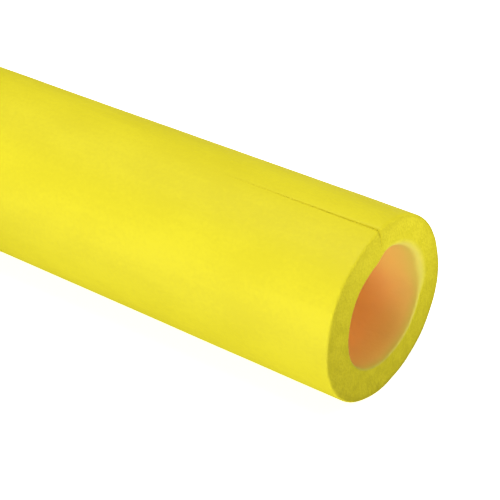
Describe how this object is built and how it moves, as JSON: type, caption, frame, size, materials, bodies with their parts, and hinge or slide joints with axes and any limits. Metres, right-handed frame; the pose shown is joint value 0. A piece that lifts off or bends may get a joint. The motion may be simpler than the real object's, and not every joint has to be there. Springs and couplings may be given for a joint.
{
  "type": "slit foam tube",
  "caption": "Hollow round tube of closed-cell foam with plain cut ends and one lengthwise slit, whose springy side walls open so that it can be pushed over a pole or rail.",
  "frame": {"origin": "on the bore's axis at mid-length", "axes": "+X along the bore, +Z from the axis straight up through the slit, +Y to the left wall"},
  "size_m": [1, 0.06, 0.0599],
  "materials": {
    "foam": "matte"
  },
  "bodies": {
    "back_wall": {"back_wall": "foam"},
    "left_wall": {"left_wall": "foam"},
    "right_wall": {"right_wall": "foam"}
  },
  "joints": [
    {"name": "left_wall_flex", "type": "hinge", "parent": "back_wall", "child": "left_wall", "pos_m": [0, 0.02121, -0.02121], "axis": [-1, 0, 0], "range_deg": [0, 28], "stiffness_Nm_per_rad": 0.5, "springref_deg": -2.86},
    {"name": "right_wall_flex", "type": "hinge", "parent": "back_wall", "child": "right_wall", "pos_m": [0, -0.02121, -0.02121], "axis": [1, 0, 0], "range_deg": [0, 28], "stiffness_Nm_per_rad": 0.5, "springref_deg": -2.86}
  ]
}
